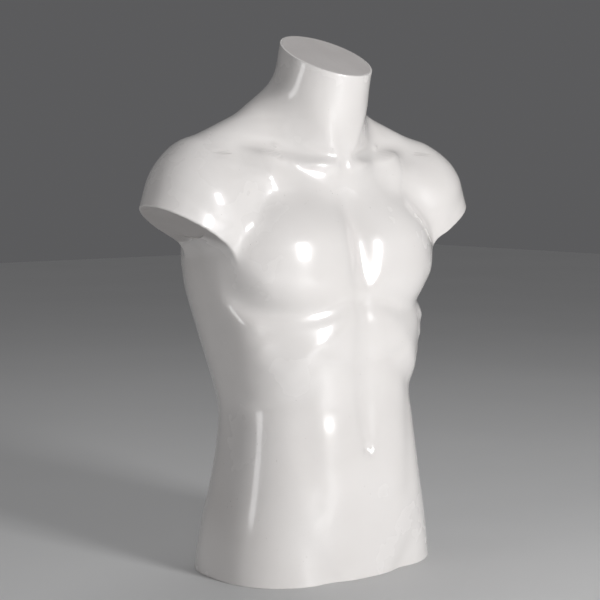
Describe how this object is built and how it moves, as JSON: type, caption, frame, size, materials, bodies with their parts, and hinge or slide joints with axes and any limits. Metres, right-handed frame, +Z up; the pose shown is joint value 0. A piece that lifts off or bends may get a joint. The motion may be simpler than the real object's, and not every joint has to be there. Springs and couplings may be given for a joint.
{
  "type": "display torso mannequin",
  "caption": "Hollow male torso display form, headless and armless, glossy white, with closed neck and arm cuts, a flat rim and a recessed stand socket with a clamp screw.",
  "frame": {"origin": "middle of the torso's footprint, on the plane of the rim that it stands on", "axes": "+Z up, -Y out of the chest, +X to the figure's left"},
  "size_m": [0.531, 0.2587, 0.7137],
  "materials": {
    "gel_coat": "polished warm white gel coat over glass-fibre laminate",
    "cap_plate": "satin white paint over a cut laminate plate",
    "seam_tape": "rough resin and glass mat",
    "plywood": "raw sanded plywood",
    "softwood": "raw softwood",
    "zinc_steel": "bright zinc plate",
    "plated_steel": "satin nickel plate",
    "brass_tip": "turned brass",
    "black_knob": "moulded black plastic"
  },
  "bodies": {
    "form": {"front_shell": "gel_coat", "back_shell": "gel_coat", "neck_cap": "cap_plate", "left_arm_cap": "cap_plate", "right_arm_cap": "cap_plate", "left_side_seam_tape": "seam_tape", "right_side_seam_tape": "seam_tape", "left_shoulder_seam_tape": "seam_tape", "right_shoulder_seam_tape": "seam_tape", "base_board": "plywood", "board_cleats": "softwood", "board_screws": "zinc_steel", "stand_flange": "plated_steel", "stand_socket": "plated_steel", "clamp_boss": "plated_steel", "flange_bolts": "zinc_steel", "flange_washers": "zinc_steel", "tee_nuts": "zinc_steel"},
    "clamp_pad": {"pressure_pad": "brass_tip"},
    "clamp_thread": {"clamp_screw": "zinc_steel", "clamp_knob": "black_knob"}
  },
  "joints": [
    {"name": "pad_travel", "type": "slide", "parent": "form", "child": "clamp_pad", "axis": [0, -1, 0], "range_m": [0, 0.0045]},
    {"name": "clamp_turn", "type": "hinge", "parent": "clamp_pad", "child": "clamp_thread", "pos_m": [0, 0.03, 0.036], "axis": [0, -1, 0], "range_deg": [0, 1296]}
  ],
  "couplings": [
    {"joint": "clamp_turn", "follows": "pad_travel", "rad_per_m": 5026.5}
  ]
}
